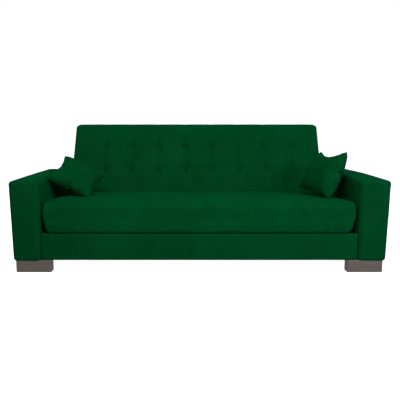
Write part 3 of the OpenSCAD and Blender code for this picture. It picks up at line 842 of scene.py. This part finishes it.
def add_rear_panel():
    """The cloth over the back's rear, a little slack inside its stitched hem."""
    xs = hemmed(-CUSHION_X + 24 * MM, CUSHION_X - 24 * MM, 14 * MM)
    heights = hemmed(84 * MM, BACK_REACH - 56 * MM, 12 * MM)[::-1]
    grid, flat = grid_of([[(x, BACK_REAR + 0.6 * MM, z) for x in xs] for z in heights])
    inside = smooth(xs[-1], xs[-1] - 0.1, np.abs(flat[:, 0]))
    slack = wrinkle(flat, (0.34, 1, 0.20), 51) * 0.8 + wrinkle(flat, (0.10, 1, 0.26), 52) * 0.5
    flat[:, 1] += (hem_height(flat, xs, heights, 2) * 0.7 + slack * inside + 0.7) * MM
    piece = shell("rear_panel", grid, 1.5 * MM, "suede", "back")
    lean(piece, BACK_LEAN)
    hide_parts("back_rear_cover")


def add_lining():
    """The dust cloth stapled under the seat. It sags between the bearers."""
    xs = hemmed(-CUSHION_X + 26 * MM, CUSHION_X - 26 * MM, 14 * MM)
    ys = hemmed(-SEAT_REACH + 68 * MM, 34 * MM, 14 * MM)[::-1]
    grid, flat = grid_of([[(x, y, SEAT_BOTTOM - 1 * MM) for x in xs] for y in ys])
    u = flat[:, 0] / xs[-1]
    v = (flat[:, 1] - ys[-1]) / (ys[0] - ys[-1])
    between = np.abs(np.sin(2.5 * np.pi * (u + 1)))
    sag = between * (1 - u ** 8) * (4 * v * (1 - v)) ** 0.5 * 5 + wrinkle(flat, (0.12, 0.3, 1), 53)
    flat[:, 2] -= (hem_height(flat, xs, ys, 1) + sag) * MM
    piece = shell("seat_lining", grid, 1 * MM, "lining", "seat")
    lean(piece, SEAT_TILT)
    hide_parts("seat_underside")


WEBBING_Y = 45 * MM          # front face of the webbing, behind the foam
WEBBING_WIDTH = 60 * MM
WEBBING_HEIGHTS = np.linspace(152 * MM, BACK_REACH - 90 * MM, 5)


def add_webbing():
    """Five bands across the back, which bulge a little between the uprights."""
    reach = CUSHION_X - 8 * MM
    for row, z in enumerate(WEBBING_HEIGHTS):
        xs = spread(-reach, reach, 12 * MM)
        heights = spread(z - WEBBING_WIDTH / 2, z + WEBBING_WIDTH / 2, 6 * MM)
        grid, flat = grid_of([[(x, WEBBING_Y, h) for x in xs] for h in heights])
        between = np.sin(2.5 * np.pi * (flat[:, 0] / reach + 1)) ** 2
        flat[:, 1] += between * 3 * MM + wrinkle(flat, (0.2, 1, 0.05), 61 + row) * 0.6 * MM
        piece = shell(f"webbing_{row + 1}", grid, 1.6 * MM, "webbing", "back")
        lean(piece, BACK_LEAN)
        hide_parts("back_webbing")


def add_tuft_ties():
    """Two-ply twine from the bottom of each tuft through the foam to the webbing."""
    sides, radius = 10, 1.3 * MM
    twist = 2 * math.pi / (9 * MM)
    points, faces = [], []
    for x in TUFT_XS:
        for z in TUFT_ROWS:
            start = len(points)
            stations = spread(-SOFT + 38 * MM, WEBBING_Y, 1.5 * MM)
            for y in stations:
                sway = 0.8 * MM * math.sin(y / (11 * MM) + x * 40)
                for k in range(sides):
                    angle = 2 * math.pi * k / sides
                    r = radius * (1 + 0.3 * math.cos(2 * (angle - twist * y)))
                    points.append((x + sway + r * math.cos(angle), y, z + r * math.sin(angle)))
            for ring in range(len(stations) - 1):
                for k in range(sides):
                    a = start + ring * sides
                    b = (k + 1) % sides
                    faces.append([a + k, a + b, a + sides + b, a + sides + k])
            faces.append([start + k for k in reversed(range(sides))])
            faces.append([len(points) - sides + k for k in range(sides)])
    piece = piece_of("tuft_twine", points, faces, "webbing", "back")
    fix_normals(piece)
    lean(piece, BACK_LEAN)
    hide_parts("tuft_ties")


# ---- Throw pillows ----

# How each pillow lies: its turns in the CAD, the places of its four corners in its own frame,
# about the middle of its CAD box, and how full its four edges are
PILLOWS = {
    LEFT: ((24, 27, 7), ((-160, -167, -19), (142, -166, -17), (168, 153, -11), (-136, 159, -12)),
           (0.08, 0.08, 0.13, -0.04)),
    RIGHT: ((4, -61, 16), ((-160, -153, -8), (172, -131, 14), (153, 130, -9), (-135, 152, 4)),
            (0.33, -0.22, 0.13, 0.10)),
}
PILLOW_CUT = 0.36            # side of the flat squares that a pillow is sewn from
PILLOW_CELLS = 44            # along each side of a square
PILLOW_START = 14 * MM       # height of each half's bulge before it is blown up


def pillow_blank(name):
    """Two square sheets joined along their edges, with a slight bulge to start from."""
    numbers, points, faces = {}, [], []
    count = PILLOW_CELLS

    def at(face, i, j):
        edge = i in (0, count) or j in (0, count)
        key = (0 if edge else face, i, j)
        if key not in numbers:
            u, v = 2 * i / count - 1, 2 * j / count - 1
            numbers[key] = len(points)
            points.append((u * PILLOW_CUT / 2, v * PILLOW_CUT / 2,
                           face * PILLOW_START * (1 - u * u) * (1 - v * v)))
        return numbers[key]

    for face in (1, -1):
        for i in range(count):
            for j in range(count):
                quad = [at(face, i, j), at(face, i + 1, j), at(face, i + 1, j + 1),
                        at(face, i, j + 1)]
                faces.append(quad[::face])
    return piece_of(name, points, faces, "suede", "pillow_" + name.split("_")[-1])


def fill_edges(p, front, right, rear, left):
    """Moves the middle of each edge of a flat-lying pillow out by a share of its half width."""
    u, v = (p[:, :2] / np.abs(p[:, :2]).max()).T
    p[:, 0] *= 1 + np.where(u > 0, right, left) * (1 - v * v)
    p[:, 1] *= 1 + np.where(v > 0, rear, front) * (1 - u * u)


def laid(points, corners):
    """Points of a flat-lying pillow, carried onto the patch between its four corners."""
    # Only the four corners lie this far out along both X and Y
    reach = np.sort(np.abs(points[:, :2]).min(axis=1))[-4]
    u, v = points[:, :1] / reach, points[:, 1:2] / reach
    a, b, c, d = (np.array(corner, float) * MM for corner in corners)
    place = ((1 - u) * (1 - v) * a + (1 + u) * (1 - v) * b + (1 + u) * (1 + v) * c
             + (1 - u) * (1 + v) * d) / 4
    along = (1 - v) * (b - a) + (1 + v) * (c - d)
    across = (1 - u) * (d - a) + (1 + u) * (c - b)
    normal = np.cross(along, across)
    normal /= np.linalg.norm(normal, axis=1, keepdims=True)
    return place + normal * points[:, 2:]


def add_pillow(side):
    side_name = SIDE_NAMES[side]
    low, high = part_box("pillow_cover_" + side_name)
    turns, corners, fullness = PILLOWS[side]
    piece = pillow_blank("throw_pillow_" + side_name)
    p = points_of(piece)
    push(piece, wrinkle(p, (0.05, 0.05, 1), 41 + side) * 1.5 * MM)
    inflate(piece, pressure=10, frames=18, mass=0.05, bending=0.1)
    p = points_of(piece)
    fill_edges(p, *fullness)
    p[:, 2] *= 0.85
    move_points(piece, p)
    move_points(piece, laid(points_of(piece), corners))
    ease(piece, rounds=2)
    subdivide(piece)
    turn = Euler([math.radians(a) for a in turns]).to_matrix().to_4x4()
    piece.data.transform(Matrix.Translation((low + high) / 2) @ turn)
    piece.data.update()
    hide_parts("pillow_cover_" + side_name, "pillow_filling_" + side_name)


# ---- The sofa ----

add_camera()
add_world()
add_floor()
for lamp_name, lamp in LAMPS.items():
    add_lamp(lamp_name, *lamp)
scene.view_settings.view_transform = "Standard"

finish_cad_nodes()
for side in (LEFT, RIGHT):
    add_arm(side)
    add_foot("front", side)
    add_foot("rear", side)
    add_pillow(side)
add_front_rail()
add_seat()
add_back()
add_rear_panel()
add_lining()
add_webbing()
add_tuft_ties()
